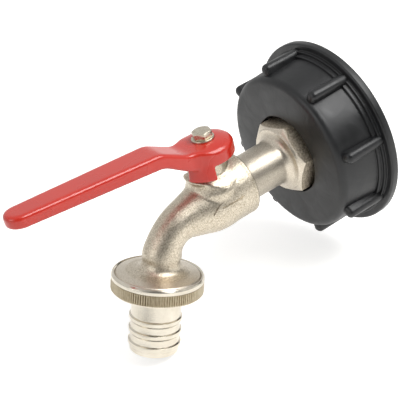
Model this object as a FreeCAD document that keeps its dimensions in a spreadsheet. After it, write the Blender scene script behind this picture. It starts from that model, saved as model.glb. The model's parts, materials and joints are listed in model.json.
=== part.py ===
"""Ball tap for an intermediate bulk container: a coarse-threaded tank nut swivels on a plastic
insert, a hexagon connector screws a cast brass ball tap into it, a lever turns the ball a
quarter turn, and a knurled union nut holds a hose tail on the outlet.

The frame: X is the pipe axis and points out of the nut's mouth, towards the tank, with the
mouth at x = 0; +Z is up, along the valve's stem. All sizes are in millimetres and degrees.
"""
import FreeCAD
import Part
import Sketcher
import math
import os
import re

Vector = FreeCAD.Vector
Rotation = FreeCAD.Rotation
doc = FreeCAD.newDocument("tank_tap")

# ---------------------------------------------------------------- driving dimensions

SIZES = {
    # tank nut
    "nut_length": 23.6, "nut_front_wall": 5.0, "nut_side_rad": 33.0, "nut_draft": 1.2,
    "nut_flange_rad": 39.4, "nut_flange_thick": 3.6, "nut_edge": 2.6,
    "nut_thread_rad": 30.0, "nut_thread_depth": 12.4, "nut_chamber_rad": 28.6,
    "nut_hole_rad": 16.67, "nut_step_rad": 36.2, "nut_step_thick": 1.6,
    "rib_count": 8, "rib_rad": 37.4, "rib_width": 4.6, "rib_setback": 2.2, "rib_nose": 3.0,
    "rib_turn": 12.0, "rib_sink": 1.0,
    # plastic insert with its flat seals
    "swivel_gap": 0.2, "insert_thick": 3.0, "insert_rad": 28.2, "insert_boss_rad": 17.6,
    "tank_seal_thick": 3.0, "tank_seal_hole_rad": 18.0, "joint_seal_thick": 1.1,
    "joint_seal_rad": 15.4,
    # inlet connector
    "tank_end_rad": 13.22, "tank_end_gap": 0.1, "hex_flats": 27.6, "hex_length": 9.0,
    "hex_turn": 38.5, "hex_chamfer": 30.0, "hex_inset": 0.3, "hex_shoulder": 0.7,
    "neck_rad": 9.3, "neck_length": 19.6, "neck_flare": 3.4,
    "sleeve_rad": 11.0, "sleeve_setback": 0.8, "sleeve_length": 4.7, "body_seal_thick": 0.5,
    "water_rad": 6.0, "thread_gap": 0.05,
    # ball and its seats
    "ball_rad": 8.5, "ball_bore_rad": 5.0, "ball_flat": 7.0, "ball_slot_floor": 5.6,
    "ball_slot_width": 3.6, "seat_rad": 8.0, "seat_reach": 8.0, "seat_face": 4.5,
    "seat_gap": 0.05, "chamber_rad": 8.9,
    # tap body
    "stem_setback": 11.3, "barrel_rad": 13.0, "barrel_bevel": 1.0, "barrel_run": 5.9,
    "throat_rad": 7.1, "spout_rad": 7.5, "spout_reach": 27.2, "spout_tilt": 19.9,
    "spout_shift": 1.25, "bend_rad": 16.0, "barrel_drop": 2.1, "outlet_water_rad": 5.0,
    "pad_rad": 11.0, "pad_top": 11.8, "pad_thick": 1.1, "pad_lip": 0.7, "pad_foot_rad": 11.5,
    "pad_foot": 6.0, "pad_round": 9.0, "boss_rad": 7.6, "boss_top": 16.6,
    "lug_rad": 1.8, "lug_ring_rad": 9.4, "lug_top": 15.8, "lug_gap_angle": 2.5,
    # outlet collar, union nut and hose tail, measured down the spout from the pipe axis
    "outlet_rad": 16.55, "collar_top": 18.5, "collar_dome": 1.2, "collar_length": 4.0,
    "collar_flare": 3.0, "collar_bevel": 0.4, "union_rim_rad": 17.2, "union_rad": 18.05,
    "union_rim_length": 2.0, "union_web": 1.2, "union_hole_rad": 11.0, "union_bevel": 0.6,
    "union_seal_thick": 1.0, "tail_flange_rad": 15.9, "tail_flange_thick": 1.3,
    "tail_rad": 9.75, "tail_bore_rad": 7.9, "barb_rad": 10.4, "barb_land": 1.3,
    "barb_slope": 1.0, "barb_rise": 0.3, "first_barb": 10.0, "barb_pitch": 5.25, "tail_length": 24.8,
    "tail_bevel": 0.5,
    # stem
    "stem_rad": 3.95, "stem_gap": 0.05, "stem_collar_rad": 5.0, "stem_collar_base": 8.1,
    "stem_collar_thick": 1.2, "thrust_thick": 0.6, "thrust_gap": 0.05,
    "stem_top": 24.9, "stem_square": 5.8, "square_gap": 0.05, "tang_gap": 0.05, "tang_rad": 4.3,
    "ring_groove_depth": 1.3, "ring_groove_width": 1.5, "ring_section_rad": 0.62,
    "ring_gap": 0.02,
    "lower_ring_height": 11.0, "upper_ring_height": 14.0,
    # lever, screw and washer
    "hub_rad": 11.0, "hub_base": 17.6, "hub_top": 25.1, "ramp_start": 10.8,
    "ramp_end": 22.1, "ramp_rise": 6.1, "ramp_round": 9.0, "arm_length": 83.6,
    "arm_rise": 4.4, "arm_thick": 5.9, "arm_tip_thick": 4.9, "arm_root_half": 7.1,
    "arm_tip_half": 5.5, "arm_edge": 1.6, "arm_under_edge": 0.8, "neck_round": 8.0,
    "channel_wall": 2.2, "channel_depth": 2.2, "channel_start": 4.0, "channel_stop": 9.0,
    "skirt_base": 12.6, "skirt_rad": 12.4, "skirt_wall": 2.6, "skirt_start": 192.0,
    "skirt_span": 57.0, "skirt_overlap": 2.5, "skirt_sink": 0.1, "washer_rad": 4.5, "washer_thick": 0.8,
    "washer_hole_rad": 2.15, "screw_rad": 1.95, "screw_length": 9.0, "screw_lead": 0.4,
    "screw_runout": 0.6, "screw_head_flats": 7.0, "screw_head_height": 2.8,
    "screw_chamfer": 30.0, "screw_turn": 10.0,
    # how far a cutting tool runs past the surface that it opens
    "overcut": 1.0,
}

sheet = doc.addObject("Spreadsheet::Sheet", "dims")
for row, (name, size) in enumerate(SIZES.items(), start=1):
    sheet.set("A%d" % row, name)
    sheet.set("B%d" % row, str(size))
    sheet.setAlias("B%d" % row, name)
doc.recompute()


def cell(text):
    """Write the sheet's name in front of each size named in an expression."""
    return re.sub(r"[a-z_]+[a-z0-9_]*",
                  lambda word: ("dims." if word[0] in SIZES else "") + word[0], text)


def value(text):
    """The number that an expression of sizes comes to."""
    return float(sheet.evalExpression(cell(text)))


# Places along the pipe, as depths behind the nut's mouth
INSERT_FRONT = "( nut_length - nut_front_wall - swivel_gap )"
INSERT_BACK = "( " + INSERT_FRONT + " - insert_thick )"
SEAL_BACK = "( " + INSERT_BACK + " - tank_seal_thick )"
HEX_BACK = "( " + INSERT_FRONT + " + joint_seal_thick )"
HEX_FRONT = "( " + HEX_BACK + " + hex_length )"
BODY_END = "( " + HEX_FRONT + " + neck_length )"
STEM_DEPTH = "( " + BODY_END + " + stem_setback )"
SPOUT_DEPTH = "( " + STEM_DEPTH + " + spout_reach )"
SLEEVE_START = "( " + BODY_END + " + sleeve_setback )"
SLEEVE_END = "( " + SLEEVE_START + " + sleeve_length )"
CHAMBER_START = "( " + SLEEVE_END + " + body_seal_thick )"
# Places down the spout from the pipe axis
COLLAR_BASE = "( collar_top + collar_length )"
TAIL_TOP = "( " + COLLAR_BASE + " + union_seal_thick )"
TAIL_SEAT = "( " + TAIL_TOP + " + tail_flange_thick )"
UNION_BASE = "( " + TAIL_SEAT + " + union_web )"
# Heights on the stem
THRUST_BASE = "( stem_collar_base + stem_collar_thick + thrust_gap )"
THRUST_TOP = "( " + THRUST_BASE + " + thrust_thick )"
WASHER_TOP = "( hub_top + washer_thick )"


# ---------------------------------------------------------------- ways of making

def bind(item, **expressions):
    """Bind properties to sizes; two underscores in a key stand for a dot."""
    for prop, text in expressions.items():
        item.setExpression(prop.replace("__", "."), cell(text))
    return item


def place(item, frame):
    """Set an item in one of the assembly's frames."""
    if frame == "pipe":        # local +Z runs from the mouth into the valve
        item.Placement = FreeCAD.Placement(Vector(), Rotation(Vector(0, 1, 0), -90))
    elif frame == "stem":      # local +Z runs up the stem from the pipe axis
        bind(item, Placement__Base__x="0 - " + STEM_DEPTH)
    elif frame == "spout":     # local +Z runs down the outlet from the pipe axis
        item.Placement = FreeCAD.Placement(Vector(), Rotation(Vector(0, -1, 0), 160))
        bind(item, Placement__Base__x="0 - " + SPOUT_DEPTH,
             Placement__Rotation__Angle="180 - spout_tilt")
    elif frame == "tube":      # the same, on the axis of the cast tube above the collar
        place(item, "spout")
        bind(item, Placement__Base__x="spout_shift * cos( spout_tilt ) - " + SPOUT_DEPTH,
             Placement__Base__z="0 - spout_shift * sin( spout_tilt )")
    elif frame == "lever":     # local +X runs from the stem along the arm
        item.Placement = FreeCAD.Placement(Vector(), Rotation(Vector(0, 0, 1), 180))
        bind(item, Placement__Base__x="0 - " + STEM_DEPTH)
    elif frame in ("inlet", "outlet"):   # local +Z runs from the ball's centre along the pipe
        side = 1 if frame == "inlet" else -1
        item.Placement = FreeCAD.Placement(Vector(), Rotation(Vector(0, side, 0), 90))
        bind(item, Placement__Base__x="0 - " + STEM_DEPTH)
    return item


def draw(sketch, corners):
    """Draw a closed, fully constrained outline.

    A corner is (x, y) in expressions of sizes, or (x, y, radius) where the side that leaves
    it is an arc: a leading "-" bends it to the right of the way round, else to the left.
    """
    spots = [(value(corner[0]), value(corner[1])) for corner in corners]
    ends = []
    for index, corner in enumerate(corners):
        start = Vector(*spots[index], 0)
        end = Vector(*spots[(index + 1) % len(spots)], 0)
        if len(corner) == 2:
            sketch.addGeometry(Part.LineSegment(start, end))
            ends.append((1, 2))
            continue
        to_right = corner[2].startswith("-")
        radius = value(corner[2].lstrip("-"))
        chord = end - start
        height = math.sqrt(max(radius ** 2 - (chord.Length / 2) ** 2, 0.0))
        left = Vector(-chord.y, chord.x, 0).normalize()
        centre = (start + end) * 0.5 + left * (-height if to_right else height)
        first, last = (end, start) if to_right else (start, end)
        begin = math.atan2(first.y - centre.y, first.x - centre.x)
        finish = math.atan2(last.y - centre.y, last.x - centre.x)
        while finish < begin:
            finish += 2 * math.pi
        circle = Part.Circle(centre, Vector(0, 0, 1), radius)
        sketch.addGeometry(Part.ArcOfCircle(circle, begin, finish))
        ends.append((2, 1) if to_right else (1, 2))
    for index, corner in enumerate(corners):
        following = (index + 1) % len(corners)
        sketch.addConstraint(Sketcher.Constraint(
            "Coincident", index, ends[index][1], following, ends[following][0]))
    for index, corner in enumerate(corners):
        for kind, axis, text, number in (("DistanceX", -2, corner[0], spots[index][0]),
                                         ("DistanceY", -1, corner[1], spots[index][1])):
            if text == "0":
                sketch.addConstraint(Sketcher.Constraint(
                    "PointOnObject", index, ends[index][0], axis))
                continue
            tie = sketch.addConstraint(Sketcher.Constraint(
                kind, -1, 1, index, ends[index][0], number))
            sketch.setExpression("Constraints[%d]" % tie, cell(text))
        if len(corner) == 3:
            text = corner[2].lstrip("-")
            tie = sketch.addConstraint(Sketcher.Constraint("Radius", index, value(text)))
            sketch.setExpression("Constraints[%d]" % tie, cell(text))


def sketch_in(body, role, corners, name):
    """A sketch on one of the body's own origin planes."""
    plane = [item for item in body.Origin.OriginFeatures if item.Role == role][0]
    sketch = body.newObject("Sketcher::SketchObject", name)
    sketch.AttachmentSupport = (plane, "")
    sketch.MapMode = "FlatFace"
    draw(sketch, corners)
    return sketch


def turned(name, corners, frame):
    """A body turned about its own Z axis from an outline of (radius, height)."""
    body = doc.addObject("PartDesign::Body", name)
    sketch = sketch_in(body, "XZ_Plane", corners, name + "_outline")
    turn = body.newObject("PartDesign::Revolution", name + "_turn")
    turn.Profile = sketch
    turn.ReferenceAxis = (sketch, ["V_Axis"])
    turn.Angle = 360
    doc.recompute()
    return place(body, frame)


def ring(name, inner, outer, low, high, frame):
    """A plain flat ring."""
    return turned(name, [(inner, low), (outer, low), (outer, high), (inner, high)], frame)


def padded(name, role, corners, length, frame, both_ways=False):
    """A body extruded from an outline on one of its origin planes."""
    body = doc.addObject("PartDesign::Body", name)
    pad = body.newObject("PartDesign::Pad", name + "_pad")
    pad.Profile = sketch_in(body, role, corners, name + "_outline")
    body.Tip = pad
    if both_ways:
        pad.SideType = "Symmetric"
    bind(pad, Length=length)
    doc.recompute()
    return place(body, frame)


def rounded(body, edges, radius, name):
    """Round edges of a body's last feature."""
    base = body.Tip
    fillet = body.newObject("PartDesign::Fillet", name)
    fillet.Base = (base, edges)
    bind(fillet, Radius=radius)
    body.Tip = fillet
    doc.recompute()
    return fillet


def edge_names(shape, chosen):
    """Names of the edges of a shape for which a test holds."""
    return ["Edge%d" % (index + 1) for index, edge in enumerate(shape.Edges) if chosen(edge)]


def joined(name, *items):
    """Several solids made one."""
    fuse = doc.addObject("Part::MultiFuse", name)
    fuse.Shapes = list(items)
    doc.recompute()
    return fuse


def cut(name, base, *tools):
    """A solid with tools cut out of it."""
    tool = tools[0] if len(tools) == 1 else joined(name + "_tools", *tools)
    result = doc.addObject("Part::Cut", name)
    result.Base, result.Tool = base, tool
    doc.recompute()
    return result


def common(name, first, second):
    """What two solids share."""
    result = doc.addObject("Part::MultiCommon", name)
    result.Shapes = [first, second]
    doc.recompute()
    return result


SUB_PARTS = {}


def keep(label, item):
    """Name a finished sub-part; its file takes the same name."""
    item.Label = label
    SUB_PARTS[label] = item
    return item


def block(name, length, width, low, high, frame="stem"):
    """A rectangular block centred on a frame's axis, from one height to another."""
    body = padded(name, "XY_Plane", [
        ("0 - %s / 2" % length, "0 - %s / 2" % width), ("%s / 2" % length, "0 - %s / 2" % width),
        ("%s / 2" % length, "%s / 2" % width), ("0 - %s / 2" % length, "%s / 2" % width)],
        "( %s ) - ( %s )" % (high, low), frame)
    return bind(body, Placement__Base__z=low)


def cylinder(name, radius, low, high, frame="stem"):
    """A plain round bar along a frame's axis."""
    return turned(name, [("0", low), (radius, low), (radius, high), ("0", high)], frame)


# ---------------------------------------------------------------- tank nut

nut = turned("nut", [
    ("nut_thread_rad", "0"), ("nut_flange_rad", "0"),
    ("nut_flange_rad", "nut_flange_thick"), ("nut_step_rad", "nut_flange_thick"),
    ("nut_step_rad", "nut_flange_thick + nut_step_thick"),
    ("nut_side_rad + nut_draft", "nut_flange_thick + nut_step_thick"),
    ("nut_side_rad", "nut_length - nut_edge", "nut_edge"),
    ("nut_side_rad - nut_edge", "nut_length"), ("nut_hole_rad", "nut_length"),
    ("nut_hole_rad", "nut_length - nut_front_wall"),
    ("nut_chamber_rad", "nut_length - nut_front_wall"), ("nut_chamber_rad", "nut_thread_depth"),
    ("nut_thread_rad", "nut_thread_depth")], "pipe")
# eight grip ribs, each a bar with a round nose, patterned about the axis
rib = nut.newObject("PartDesign::Pad", "rib")
rib.Profile = sketch_in(nut, "XZ_Plane", [
    ("nut_side_rad - rib_sink", "nut_flange_thick / 2"), ("rib_rad", "nut_flange_thick / 2"),
    ("rib_rad", "nut_length - rib_setback - rib_nose", "rib_nose"),
    ("rib_rad - rib_nose", "nut_length - rib_setback"),
    ("nut_side_rad - rib_sink", "nut_length - rib_setback")], "rib_outline")
rib.SideType = "Symmetric"
bind(rib, Length="rib_width")
nut.Tip = rib
doc.recompute()
ribs = nut.newObject("PartDesign::PolarPattern", "ribs")
ribs.Originals = [rib]
ribs.Axis = (rib.Profile[0], ["V_Axis"])
ribs.Angle = 360
bind(ribs, Occurrences="rib_count")
nut.Tip = ribs
doc.recompute()
nut.Placement = FreeCAD.Placement(
    Vector(), Rotation(Vector(-1, 0, 0), value("rib_turn")) * nut.Placement.Rotation)
keep("tank_nut", nut)

# ---------------------------------------------------------------- insert and flat seals

keep("tank_insert", turned("insert", [
    ("tank_end_rad + thread_gap", SEAL_BACK), ("insert_boss_rad", SEAL_BACK),
    ("insert_boss_rad", INSERT_BACK), ("insert_rad", INSERT_BACK), ("insert_rad", INSERT_FRONT),
    ("tank_end_rad + thread_gap", INSERT_FRONT)], "pipe"))
keep("tank_seal", ring(
    "tank_ring", "tank_seal_hole_rad", "insert_rad", SEAL_BACK, INSERT_BACK, "pipe"))
keep("connector_seal", ring(
    "joint_ring", "tank_end_rad + thread_gap", "joint_seal_rad", INSERT_FRONT, HEX_BACK, "pipe"))

# ---------------------------------------------------------------- inlet connector

connector_core = turned("connector_core", [
    ("water_rad", SEAL_BACK + " + tank_end_gap"), ("tank_end_rad", SEAL_BACK + " + tank_end_gap"),
    ("tank_end_rad", HEX_BACK), ("hex_flats", HEX_BACK),
    ("hex_flats", HEX_FRONT + " - hex_shoulder - ( hex_flats / 2 + hex_inset ) * tan( hex_chamfer )"),
    ("hex_flats / 2 - hex_inset", HEX_FRONT + " - hex_shoulder"),
    ("neck_rad + neck_flare", HEX_FRONT, "-neck_flare"), ("neck_rad", HEX_FRONT + " + neck_flare"),
    ("neck_rad", SLEEVE_START), ("sleeve_rad", SLEEVE_START), ("sleeve_rad", SLEEVE_END),
    ("seat_rad + thread_gap", SLEEVE_END), ("seat_rad + thread_gap", STEM_DEPTH + " - seat_reach"),
    ("water_rad", STEM_DEPTH + " - seat_reach")], "pipe")
hexagon = doc.addObject("Part::Prism", "hexagon")
hexagon.Polygon = 6
bind(hexagon, Circumradius="hex_flats / sqrt( 3 )", Height=CHAMBER_START)
hexagon.Placement = FreeCAD.Placement(
    Vector(), Rotation(Vector(-1, 0, 0), value("hex_turn")) * Rotation(Vector(0, 1, 0), -90))
keep("inlet_connector", common("connector", connector_core, hexagon))
keep("body_seal", ring(
    "body_ring", "seat_rad + thread_gap", "sleeve_rad", SLEEVE_END, CHAMBER_START, "pipe"))

# ---------------------------------------------------------------- tap body

PATH_START = "( " + BODY_END + " + barrel_run )"
CORNER = "( " + SPOUT_DEPTH + " + barrel_drop * tan( spout_tilt ) - spout_shift / cos( spout_tilt ) )"
BEND_ANGLE = "( 90 - spout_tilt )"
BEND_START = "( " + CORNER + " - bend_rad * tan( " + BEND_ANGLE + " / 2 ) )"
RUN = "( " + BEND_START + " - " + PATH_START + " )"
THROAT = "( " + RUN + " + bend_rad * " + BEND_ANGLE + " / 2 * pi / 180 )"
DROP_END = 0.6       # share of the run over which the barrel's axis drops


def section(name, x, z, slope, radius):
    """A round cross-section of the casting, square to its middle line."""
    sketch = doc.addObject("Sketcher::SketchObject", name)
    draw(sketch, [(radius, "0", radius), ("0", radius, radius),
                  ("0 - ( %s )" % radius, "0", radius), ("0", "0 - ( %s )" % radius, radius)])
    sketch.Placement = FreeCAD.Placement(Vector(), Rotation(Vector(0, -1, 0), 90))
    return bind(sketch, Placement__Base__x=x, Placement__Base__z=z,
                Placement__Rotation__Angle="90 + " + slope)


def run_place(share):
    """Where the middle line is along the barrel; its sections stay upright."""
    x = "0 - %s - %s * %g" % (PATH_START, RUN, share)
    z = "0 - barrel_drop * sin( %g ) ^ 2" % (min(share / DROP_END, 1.0) * 90)
    return x, z, "0"


def bend_place(share):
    """Where the middle line is round the bend, and its slope."""
    angle = "( " + BEND_ANGLE + " * %g )" % share
    x = "0 - " + BEND_START + " - bend_rad * sin( " + angle + " )"
    z = "0 - barrel_drop - bend_rad * ( 1 - cos( " + angle + " ) )"
    return x, z, angle


def tube_place(distance):
    """Where the middle line is down the spout, and its slope."""
    x = "spout_shift * cos( spout_tilt ) - %s - ( %s ) * sin( spout_tilt )"
    z = "0 - spout_shift * sin( spout_tilt ) - ( %s ) * cos( spout_tilt )"
    return x % (SPOUT_DEPTH, distance), z % distance, BEND_ANGLE


def taper(length):
    """Radius of the casting a length along its middle line, down to the throat."""
    return "throat_rad + ( barrel_rad - throat_rad ) * cos( 90 * %s / %s ) ^ 2" % (length, THROAT)


def loft(name, sections):
    """A solid through a row of sections."""
    item = doc.addObject("Part::Loft", name)
    item.Sections = sections
    item.Solid = True
    doc.recompute()
    return item


skin = []
for share in (0, 0.2, 0.4, 0.6, 0.8, 1):
    skin.append(section("barrel_%02d" % (share * 10), *run_place(share),
                        taper("( %s * %g )" % (RUN, share))))
for share in (0.25, 0.5):
    length = "( %s + bend_rad * %s * %g * pi / 180 )" % (RUN, BEND_ANGLE, share)
    skin.append(section("bend_%02d" % (share * 100), *bend_place(share), taper(length)))
for share in (0.75, 1):
    radius = "throat_rad + ( spout_rad - throat_rad ) * %g" % (share * 2 - 1)
    skin.append(section("bend_%02d" % (share * 100), *bend_place(share), radius))
skin.append(section("spout_end", *tube_place("collar_top"), "spout_rad"))

water = [section("water_seat", "0 - " + STEM_DEPTH + " - ball_rad / 2", "0", "0",
                 "outlet_water_rad"),
         section("water_start", "0 - " + STEM_DEPTH + " - seat_reach", "0", "0",
                 "outlet_water_rad")]
for share in (0.1, 0.4, 0.7, 1):
    water.append(section("water_%02d" % (share * 10), *bend_place(share), "outlet_water_rad"))
water.append(section("water_end", *tube_place(COLLAR_BASE + " + overcut"), "outlet_water_rad"))

barrel_end = turned("barrel_end", [
    ("0", BODY_END), ("barrel_rad - barrel_bevel", BODY_END),
    ("barrel_rad", BODY_END + " + barrel_bevel"), ("barrel_rad", PATH_START),
    ("0", PATH_START)], "pipe")
collar = turned("collar", [
    ("0", "collar_top - collar_dome"), ("spout_rad + collar_flare / 2", "collar_top - collar_dome"),
    ("outlet_rad - collar_bevel", "collar_top"), ("outlet_rad", "collar_top + collar_bevel"),
    ("outlet_rad", COLLAR_BASE), ("0", COLLAR_BASE)], "spout")
flare = turned("flare", [
    ("0", "collar_top - collar_dome - collar_flare"),
    ("spout_rad", "collar_top - collar_dome - collar_flare", "-collar_flare"),
    ("spout_rad + collar_flare", "collar_top - collar_dome"),
    ("spout_rad + collar_flare", "collar_top"), ("0", "collar_top")], "tube")
# the pad round the stem, thin at its rim and flaring into the barrel below it
stem_pad = turned("stem_pad", [
    ("0", "0"), ("pad_foot_rad", "0"), ("pad_foot_rad", "pad_foot", "-pad_round"),
    ("pad_rad - pad_lip", "pad_top - pad_thick"), ("pad_rad", "pad_top - pad_thick"),
    ("pad_rad", "pad_top"), ("0", "pad_top")], "stem")
boss = cylinder("boss", "boss_rad", "0", "boss_top")

LUG_HALF = "( asin( lug_rad / lug_ring_rad ) / 1 deg )"
SKIRT_END = "( skirt_start + skirt_span )"


def lug(name, angle):
    """A round-topped stop on the casting's pad."""
    post = cylinder(name, "lug_rad", "0", "lug_top - lug_rad")
    cap = doc.addObject("Part::Sphere", name + "_cap")
    bind(cap, Radius="lug_rad", Placement__Base__z="lug_top - lug_rad")
    for item in (post, cap):
        bind(item, Placement__Base__x="lug_ring_rad * cos( %s ) - %s" % (angle, STEM_DEPTH),
             Placement__Base__y="lug_ring_rad * sin( %s )" % angle)
    return post, cap


open_stop = lug("open_stop", "( %s + lug_gap_angle + %s )" % (SKIRT_END, LUG_HALF))
shut_stop = lug("shut_stop", "( skirt_start - 90 - lug_gap_angle - %s )" % LUG_HALF)
casting = joined("casting", barrel_end, loft("skin", skin), collar, flare, stem_pad, boss,
                 *open_stop, *shut_stop)

inlet_bore = turned("inlet_bore", [
    ("0", BODY_END + " - overcut"), ("sleeve_rad + thread_gap", BODY_END + " - overcut"),
    ("sleeve_rad + thread_gap", CHAMBER_START), ("chamber_rad", CHAMBER_START),
    ("chamber_rad", STEM_DEPTH + " + seat_face"),
    ("seat_rad + thread_gap", STEM_DEPTH + " + seat_face"),
    ("seat_rad + thread_gap", STEM_DEPTH + " + seat_reach"),
    ("0", STEM_DEPTH + " + seat_reach")], "pipe")
stem_bore = cylinder("stem_bore", "stem_rad + stem_gap", "0", "boss_top + overcut")
thrust_bore = cylinder(
    "thrust_bore", "stem_collar_rad + stem_gap * 4", "0", THRUST_TOP + " + thrust_gap")
# the pad is faced off with the barrel's end
end_face = cylinder("end_face", "barrel_rad + overcut", STEM_DEPTH + " - pad_foot_rad - overcut",
                    BODY_END, "pipe")
keep("tap_body", cut("tap", casting, inlet_bore, loft("waterway", water), stem_bore, thrust_bore,
                     end_face))

# ---------------------------------------------------------------- ball, seats and stem

SEAT_SPHERE = "( ball_rad + seat_gap )"
for side in ("inlet", "outlet"):
    keep("seat_ring_" + side, turned("seat_" + side, [
        ("ball_bore_rad", "sqrt( %s ^ 2 - ball_bore_rad ^ 2 )" % SEAT_SPHERE),
        ("ball_bore_rad", "seat_reach"), ("seat_rad", "seat_reach"), ("seat_rad", "seat_face"),
        ("sqrt( %s ^ 2 - seat_face ^ 2 )" % SEAT_SPHERE, "seat_face", SEAT_SPHERE)], side))

sphere = doc.addObject("Part::Sphere", "sphere")
bind(sphere, Radius="ball_rad", Placement__Base__x="0 - " + STEM_DEPTH)
ball_bore = turned("ball_bore", [
    ("0", STEM_DEPTH + " - ball_rad - overcut"), ("ball_bore_rad", STEM_DEPTH + " - ball_rad - overcut"),
    ("ball_bore_rad", STEM_DEPTH + " + ball_rad + overcut"), ("0", STEM_DEPTH + " + ball_rad + overcut")],
    "pipe")
ball_flat = block("flat", "ball_rad * 2", "ball_rad * 2", "ball_flat", "ball_rad + overcut")
ball_slot = block("slot", "ball_slot_width", "ball_rad * 2", "ball_slot_floor", "ball_rad + overcut")
keep("ball", cut("ball_cut", sphere, ball_bore, ball_flat, ball_slot))


def groove(height):
    """Corners of an O-ring groove in the stem's outline."""
    low = height + " - ring_groove_width / 2"
    high = height + " + ring_groove_width / 2"
    floor = "stem_rad - ring_groove_depth"
    return [("stem_rad", low), (floor, low), (floor, high), ("stem_rad", high)]


shaft = turned("shaft", [
    ("0", "stem_collar_base"), ("stem_collar_rad", "stem_collar_base"),
    ("stem_collar_rad", "stem_collar_base + stem_collar_thick"),
    ("stem_rad", "stem_collar_base + stem_collar_thick"), *groove("lower_ring_height"),
    *groove("upper_ring_height"), ("stem_rad", "hub_base"), ("0", "hub_base")], "stem")
square = common("square",
                block("square_bar", "stem_square", "stem_square", "hub_base", "stem_top"),
                cylinder("square_round", "stem_rad", "hub_base", "stem_top"))
TANG_BASE = "( ball_slot_floor + tang_gap )"
tang = common("tang",
              block("tang_bar", "( ball_slot_width - tang_gap * 2 )", "ball_rad * 2", TANG_BASE,
                    "stem_collar_base"),
              cylinder("tang_round", "tang_rad", TANG_BASE, "stem_collar_base"))
SCREW_TIP = "( " + WASHER_TOP + " - screw_length )"
tapped = cylinder("tapped", "screw_rad + thread_gap", SCREW_TIP + " - screw_runout", "stem_top + overcut")
keep("stem", cut("stem_cut", joined("stem_joined", shaft, square, tang), tapped))
for label, height in (("stem_o_ring_lower", "lower_ring_height"),
                      ("stem_o_ring_upper", "upper_ring_height")):
    torus = doc.addObject("Part::Torus", label)
    bind(torus, Radius1="stem_rad - ring_groove_depth + ring_section_rad + ring_gap",
         Radius2="ring_section_rad", Placement__Base__z=height)
    keep(label, place(torus, "stem"))
keep("thrust_washer", ring(
    "thrust", "stem_rad + stem_gap", "stem_collar_rad", THRUST_BASE, THRUST_TOP, "stem"))

# ---------------------------------------------------------------- lever, screw and washer

ARM_TOP = "( hub_top + ramp_rise )"
TIP_TOP = "( " + ARM_TOP + " + arm_rise )"
# where the neck's arc leaves the hub's circle and meets the arm's side
NECK_RUN = "sqrt( ( hub_rad + neck_round ) ^ 2 - ( arm_root_half + neck_round ) ^ 2 )"
NECK_X = NECK_RUN + " * hub_rad / ( hub_rad + neck_round )"
NECK_Y = "( arm_root_half + neck_round ) * hub_rad / ( hub_rad + neck_round )"
TIP_X = "arm_length - arm_tip_half"

side_view = padded("side_view", "XZ_Plane", [
    ("0 - hub_rad", "hub_base"), ("ramp_start", "hub_base"),
    ("ramp_end", ARM_TOP + " - arm_thick"), ("arm_length", TIP_TOP + " - arm_tip_thick"),
    ("arm_length", TIP_TOP), ("ramp_end", ARM_TOP), ("ramp_start", "hub_top"),
    ("0 - hub_rad", "hub_top")], "hub_rad * 2", "lever", both_ways=True)


def across(edge):
    """Whether an edge runs across the lever at one of the ramp's creases."""
    line = edge.Vertexes[-1].Point - edge.Vertexes[0].Point
    along = edge.CenterOfMass.x
    return abs(line.y) > value("hub_rad") and 0 < along < value("arm_length") - 1


rounded(side_view, edge_names(side_view.Tip.Shape, across), "ramp_round", "ramp_rounds")
plan_view = padded("plan_view", "XY_Plane", [
    (NECK_X, "0 - " + NECK_Y, "-neck_round"), (NECK_RUN, "0 - arm_root_half"),
    (TIP_X, "0 - arm_tip_half", "arm_tip_half"), ("arm_length", "0", "arm_tip_half"),
    (TIP_X, "arm_tip_half"), (NECK_RUN, "arm_root_half", "-neck_round"),
    (NECK_X, NECK_Y, "hub_rad"), ("0 - hub_rad", "0", "hub_rad")], TIP_TOP + " + overcut", "lever")
blank = common("blank", side_view, plan_view)


def facing(face, point):
    """Height part of a face's outward normal at a point."""
    across_way, along_way = face.Surface.parameter(point)
    return face.normalAt(across_way, along_way).z


def outer_edge(shape, edge, up):
    """Whether an edge lies between the blank's upright side and its top, or its underside."""
    middle = edge.valueAt((edge.FirstParameter + edge.LastParameter) / 2)
    normals = [facing(face, middle) * up for face in shape.ancestorsOfType(edge, Part.Face)]
    return max(normals) > 0.5 and min(abs(normal) for normal in normals) < 0.1


def fillet_of(name, base, up, radius):
    """Round the blank's top or bottom outline."""
    item = doc.addObject("Part::Fillet", name)
    item.Base = base
    item.Edges = [(index + 1, value(radius), value(radius))
                  for index, edge in enumerate(base.Shape.Edges)
                  if outer_edge(base.Shape, edge, up)]
    doc.recompute()
    return item


softened = fillet_of("softened", fillet_of("crowned", blank, 1, "arm_edge"), -1, "arm_under_edge")
channel = padded("channel", "XZ_Plane", [
    ("ramp_end + channel_start", ARM_TOP + " - arm_thick - overcut"),
    ("arm_length - channel_stop", ARM_TOP + " - arm_thick - overcut"),
    ("arm_length - channel_stop", TIP_TOP + " - arm_tip_thick + channel_depth"),
    ("ramp_end + channel_start", ARM_TOP + " - arm_thick + channel_depth")],
    "( arm_tip_half - channel_wall ) * 2", "lever", both_ways=True)
square_hole = block("square_hole", "( stem_square + square_gap * 2 )",
                    "( stem_square + square_gap * 2 )", "hub_base - overcut",
                    "hub_top + overcut", "lever")
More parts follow.
